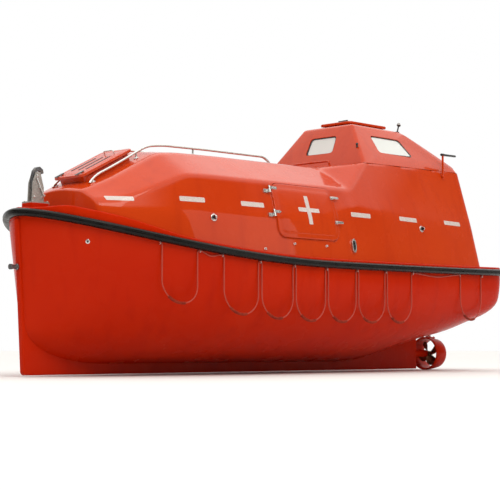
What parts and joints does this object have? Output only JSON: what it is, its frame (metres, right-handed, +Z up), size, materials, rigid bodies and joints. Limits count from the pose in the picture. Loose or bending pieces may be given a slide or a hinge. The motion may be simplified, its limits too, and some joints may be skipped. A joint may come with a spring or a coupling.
{
  "type": "totally enclosed lifeboat",
  "caption": "Davit-launched totally enclosed lifeboat with a faceted conning tower, fin keel, side doors, hatches, release hooks, fender, lifelines and a steering nozzle round its propeller.",
  "frame": {"origin": "on the centreline amidships at the waterline", "axes": "+X to the bow, +Y to port, +Z up"},
  "size_m": [6.5416, 2.32, 2.859],
  "materials": {
    "hull_red": "red gelcoat on glass-fibre laminate, glossy",
    "canopy_orange": "orange-red gelcoat on glass-fibre laminate, glossy",
    "rubber": "black, satin",
    "steel": "stainless, satin",
    "bronze": "cast bronze, dull",
    "glass": "clear safety glass",
    "liner": "off-white glass-fibre moulding",
    "rope": "twisted rope, orange",
    "grey_paint": "grey-green engine paint",
    "black_plastic": "black, matt"
  },
  "bodies": {
    "boat": {"hull": "hull_red", "canopy": "canopy_orange", "tower": "canopy_orange", "window_front": "glass", "window_port": "glass", "window_starboard": "glass", "window_aft": "glass", "door_hinge_port_lower": "steel", "door_hinge_port_upper": "steel", "door_hinge_starboard_lower": "steel", "door_hinge_starboard_upper": "steel", "front_hatch_hinge": "steel", "roof_hatch_hinge": "steel", "aft_hatch_hinge_lower": "steel", "aft_hatch_hinge_upper": "steel", "fender": "rubber", "lifeline_port": "rope", "lifeline_starboard": "rope", "rail_port": "steel", "rail_starboard": "steel", "hook_base_fore": "steel", "hook_base_aft": "steel", "stem_fitting": "steel", "side_eye_port_fore": "steel", "side_eye_port_aft": "steel", "side_eye_starboard_fore": "steel", "side_eye_starboard_aft": "steel", "vent_port": "steel", "vent_starboard": "steel", "signal_lamp": "black_plastic", "aerial_post": "canopy_orange", "tower_grab_bar": "canopy_orange", "bench_port": "liner", "bench_starboard": "liner", "engine": "grey_paint", "helm_seat": "liner", "helm_console": "liner"},
    "door_port": {"door_port": "canopy_orange"},
    "door_starboard": {"door_starboard": "canopy_orange"},
    "front_hatch": {"front_hatch": "canopy_orange"},
    "roof_hatch": {"roof_hatch": "canopy_orange"},
    "aft_hatch": {"aft_hatch": "canopy_orange"},
    "hook_fore": {"hook_fore": "steel"},
    "hook_aft": {"hook_aft": "steel"},
    "nozzle": {"nozzle": "hull_red"},
    "propeller": {"propeller": "bronze"}
  },
  "joints": [
    {"name": "propeller_spin", "type": "hinge", "parent": "boat", "child": "propeller", "pos_m": [-2.87, 0, -0.44], "axis": [1, 0, 0], "continuous": true},
    {"name": "nozzle_steer", "type": "hinge", "parent": "boat", "child": "nozzle", "pos_m": [-2.87, 0, -0.44], "axis": [0, 0, 1], "range_deg": [-35, 35]},
    {"name": "door_port_swing", "type": "hinge", "parent": "boat", "child": "door_port", "pos_m": [0.895, 1.01516, 0.94854], "axis": [0, 0.2846, -0.9586], "range_deg": [0, 100]},
    {"name": "door_starboard_swing", "type": "hinge", "parent": "boat", "child": "door_starboard", "pos_m": [0.895, -1.01516, 0.94854], "axis": [0, 0.2846, 0.9586], "range_deg": [0, 100]},
    {"name": "front_hatch_swing", "type": "hinge", "parent": "boat", "child": "front_hatch", "pos_m": [2.03035, 0, 1.54348], "axis": [0, -1, 0], "range_deg": [0, 100]},
    {"name": "roof_hatch_swing", "type": "hinge", "parent": "boat", "child": "roof_hatch", "pos_m": [-1.845, 0, 2.152], "axis": [0, -1, 0], "range_deg": [0, 110]},
    {"name": "aft_hatch_swing", "type": "hinge", "parent": "boat", "child": "aft_hatch", "pos_m": [-2.664, -0.266, 1.04], "axis": [0, 0, 1], "range_deg": [0, 100]},
    {"name": "hook_fore_release", "type": "hinge", "parent": "boat", "child": "hook_fore", "pos_m": [3.025, 0, 1.10784], "axis": [0, 1, 0], "range_deg": [0, 75]},
    {"name": "hook_aft_release", "type": "hinge", "parent": "boat", "child": "hook_aft", "pos_m": [-2.92, 0, 0.71372], "axis": [0, 1, 0], "range_deg": [0, 75]}
  ]
}
